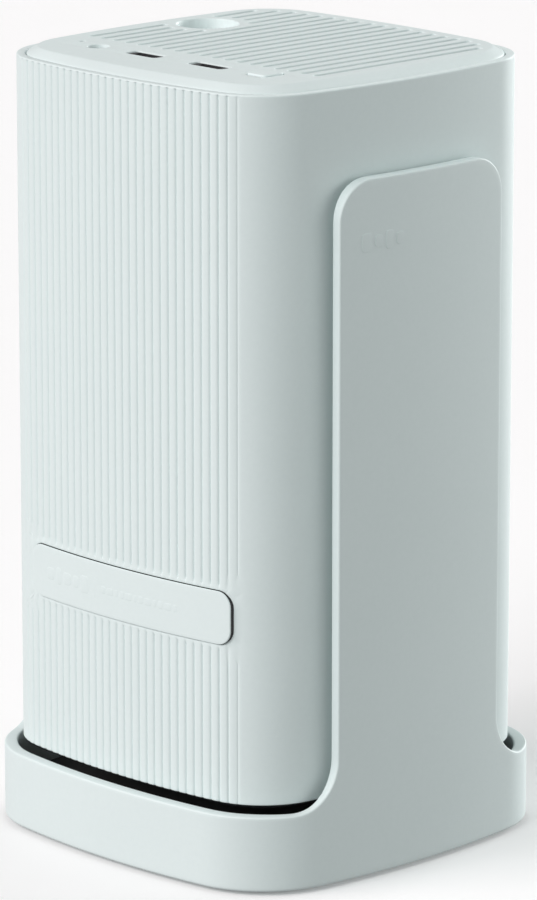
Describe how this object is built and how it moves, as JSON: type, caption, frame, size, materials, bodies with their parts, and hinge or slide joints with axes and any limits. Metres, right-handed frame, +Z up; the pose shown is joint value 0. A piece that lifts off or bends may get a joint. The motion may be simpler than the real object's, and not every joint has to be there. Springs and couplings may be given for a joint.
{
  "type": "portable projector",
  "caption": "Portable projector with a fluted front, rear sockets and an exhaust grille, hung between the arms of a U-shaped tilting stand.",
  "frame": {"origin": "on the ground at the middle of the stand's base", "axes": "+Z up; -Y out of the fluted front with the badge; X along the tilt axis through both arms"},
  "size_m": [0.1182, 0.1182, 0.2093],
  "materials": {
    "white_plastic": "cool white, fine matte grain",
    "cap_plastic": "cool white, satin",
    "rubber": "dark, matte",
    "steel": "plain steel",
    "brass": "turned",
    "black_plastic": "black, satin",
    "black_gloss": "black, polished",
    "glass": "clear, polished",
    "aluminium": "satin",
    "circuit_board": "green solder mask"
  },
  "bodies": {
    "stand": {"stand_shell": "white_plastic", "base_cover": "white_plastic", "foot_ring": "rubber", "ballast_plate": "steel", "tray_mat": "rubber", "tripod_insert": "brass", "base_screw_1": "steel", "base_screw_2": "steel", "base_screw_3": "steel", "base_screw_4": "steel", "hinge_pin_left": "steel", "hinge_pin_right": "steel", "hinge_nut_left": "steel", "hinge_nut_right": "steel", "spring_washer_left": "steel", "spring_washer_right": "steel"},
    "projector": {"hinge_bracket_left": "steel", "hinge_bracket_right": "steel", "pivot_bush_left": "black_plastic", "pivot_bush_right": "black_plastic", "body_sleeve": "white_plastic", "badge_frame": "black_plastic", "badge_plate": "white_plastic", "intake_grille": "white_plastic", "rear_cap": "cap_plastic", "lens_bezel": "black_plastic", "front_panel": "black_gloss", "lens_shroud": "black_plastic", "sensor_window": "black_gloss", "focus_actuator": "steel", "guide_rod": "steel", "engine_housing": "black_plastic", "lcd_panel": "glass", "condenser_lens": "glass", "led_module": "aluminium", "heat_sink": "aluminium", "fan_frame": "black_plastic", "main_board": "circuit_board", "usb_socket": "black_plastic", "hdmi_socket": "black_plastic", "audio_socket": "black_plastic", "power_socket": "black_plastic", "status_light": "glass", "button_switch": "black_plastic", "speaker": "black_plastic"},
    "focus_barrel": {"lens_barrel": "black_plastic", "lens_front_glass": "glass", "lens_rear_glass": "glass", "focus_rod": "steel"},
    "fan_rotor": {"fan_rotor": "black_plastic"},
    "power_button": {"power_button": "white_plastic"}
  },
  "joints": [
    {"name": "tilt", "type": "hinge", "parent": "stand", "child": "projector", "pos_m": [0, 0, 0.156], "axis": [-1, 0, 0], "range_deg": [0, 180]},
    {"name": "focus_slide", "type": "slide", "parent": "projector", "child": "focus_barrel", "axis": [0, 0, 1], "range_m": [-0.0015, 0.002]},
    {"name": "fan_spin", "type": "hinge", "parent": "projector", "child": "fan_rotor", "pos_m": [0, 0.009, 0.178], "axis": [0, 0, 1], "continuous": true},
    {"name": "power_button_press", "type": "slide", "parent": "projector", "child": "power_button", "axis": [0, 0, -1], "range_m": [0, 0.0004], "stiffness_N_per_m": 600, "springref_m": -0.0005}
  ]
}
